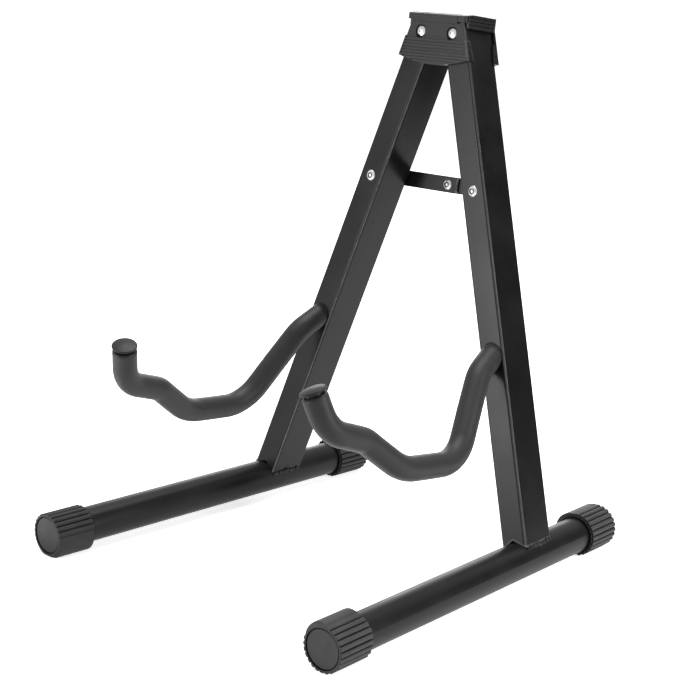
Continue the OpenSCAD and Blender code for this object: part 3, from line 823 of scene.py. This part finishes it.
def make_floor():
    material, tree, _ = new_material("floor_white")
    tree.nodes.clear()
    out = tree.nodes.new("ShaderNodeOutputMaterial")
    diffuse = tree.nodes.new("ShaderNodeBsdfDiffuse")
    feed(tree, diffuse, {"Color": grey(FLOOR_GREY)})
    reach = vector_maths(tree, "LENGTH", "Value", coordinates(tree))
    glow = tree.nodes.new("ShaderNodeEmission")
    fade = ramp(tree, reach, *GLOW_STRENGTH, *GLOW_REACH)
    feed(tree, glow, {"Strength": times(tree, seen_directly(tree), fade)})
    add = tree.nodes.new("ShaderNodeAddShader")
    feed(tree, add, {0: diffuse.outputs[0], 1: glow.outputs[0]})
    feed(tree, out, {"Surface": add.outputs[0]})
    half = FLOOR_HALF
    floor = sheet("floor", [(-half, -half, 0), (half, -half, 0), (half, half, 0),
                            (-half, half, 0)], material)


def make_world():
    world = bpy.data.worlds.new("studio")
    bpy.context.scene.world = world
    world.use_nodes = True
    tree = world.node_tree
    strength = ramp(tree, seen_directly(tree), AMBIENT, 1.0, 0, 1)
    feed(tree, tree.nodes["Background"], {"Color": grey(1), "Strength": strength})


# Lamps and cards

FLAG_GREYS = (0.03, 0.039)
# Height of the bounce lamp, just clear of the floor
BOUNCE_HEIGHT = 0.004


def towards(azimuth, elevation=0.0):
    """Direction from the stand; azimuth 0 is in front and 90 at the right."""
    turned, raised = math.radians(azimuth), math.radians(elevation)
    return Vector((math.sin(turned) * math.cos(raised), -math.cos(turned) * math.cos(raised),
                   math.sin(raised)))


def lamp(name, size, brightness, place, rotation):
    """An area lamp. Its brightness is as a white surface's, where 1 is plain white."""
    light = bpy.data.lights.new(name, "AREA")
    light.shape = "RECTANGLE"
    light.size, light.size_y = size
    light.energy = brightness * math.pi * size[0] * size[1]
    made = link(name, light)
    made.location = place
    made.rotation_euler = rotation
    made.visible_camera = False


def softbox(name, azimuth, elevation, distance, size, brightness, aim=(0, 0, 0.17)):
    """A lamp at a distance from a point near the stand, at which it is aimed."""
    way = towards(azimuth, elevation)
    lamp(name, size, brightness, Vector(aim) + way * distance,
         (-way).to_track_quat("-Z", "Y").to_euler())


def bounce(name, azimuth, reach, width, brightness):
    """A lamp that lies on the floor between two distances from the stand and shines up, as a
    bounce board in front of the key does."""
    place = towards(azimuth) * sum(reach) / 2 + Vector((0, 0, BOUNCE_HEIGHT))
    lamp(name, (width, reach[1] - reach[0]), brightness, place,
         (math.pi, 0, math.radians(azimuth)))


def flag(name, azimuth, width, near, far):
    """A dark card outside the picture that keeps the tubes' right sides dark, as a studio does.
    Near and far are the distance and height of its two level edges."""
    way = towards(azimuth)
    side = Vector((way.y, -way.x, 0)) * width / 2
    corners = [way * reach + side * sign + Vector((0, 0, height))
               for (reach, height), sign in ((near, -1), (near, 1), (far, 1), (far, -1))]
    material, tree, shader = new_material(name + "_cloth")
    dark, light = FLAG_GREYS
    colour = mixed(tree, noise(tree, scale=40, detail=2), grey(dark), grey(light))
    feed(tree, shader, {"Base Color": colour, "Roughness": 0.9, "Specular IOR Level": 0.1})
    card = sheet(name, corners, material)
    card.visible_camera = False
    return card


make_floor()
make_world()
flag("flag_right", azimuth=147, width=1.3, near=(1.5, 0.002), far=(1.5, 0.85))
# This one is there for the reflections alone.
low_flag = flag("flag_low", azimuth=146, width=0.8, near=(0.60, 0.003), far=(1.49, 0.003))
low_flag.visible_shadow = low_flag.visible_diffuse = False
softbox("key_front", azimuth=-29, elevation=0, distance=1.1, size=(0.28, 0.60),
        brightness=12.2, aim=(0, 0, 0.30))
bounce("bounce_front", azimuth=-31, reach=(0.22, 0.95), width=0.2, brightness=1.5)
softbox("top", azimuth=200, elevation=78, distance=1.6, size=(1.2, 1.0), brightness=9.0)
softbox("back", azimuth=-139, elevation=9, distance=1.9, size=(0.9, 0.4), brightness=4.6)
softbox("rim_right", azimuth=106, elevation=14, distance=1.4, size=(0.18, 0.8),
        brightness=32)


# Camera

# The camera was fitted to the photograph in a frame with its origin on the floor under the
# hinge, and the axes of the feet at this height.
FITTED_AXIS_HEIGHT = 15.85
CAMERA_PLACE, CAMERA_TARGET = (771.66, -947.75, 436.80), (-99.10, 0, 119.32)
CAMERA_ROLL = math.radians(1.557)
SENSOR, LENS = 36, 90.57
CLIP = (0.05, 50)


def make_camera():
    shift = Vector((0, PIVOT_Y, AXIS_HEIGHT - FITTED_AXIS_HEIGHT))
    place = (Vector(CAMERA_PLACE) + shift) * MM
    look = ((Vector(CAMERA_TARGET) + shift) * MM - place).normalized()
    level = look.cross(Vector((0, 0, 1))).normalized()
    upright = level.cross(look)
    right = level * math.cos(CAMERA_ROLL) + upright * math.sin(CAMERA_ROLL)
    up = upright * math.cos(CAMERA_ROLL) - level * math.sin(CAMERA_ROLL)
    data = bpy.data.cameras.new("camera")
    data.sensor_width = SENSOR
    data.sensor_fit = "HORIZONTAL"
    data.lens = LENS
    data.clip_start, data.clip_end = CLIP
    camera = link("camera", data)
    axes = Matrix((right, up, -look)).transposed().to_4x4()
    camera.matrix_world = Matrix.Translation(place) @ axes
    bpy.context.scene.camera = camera


make_camera()
bpy.context.scene.view_settings.view_transform = "Standard"
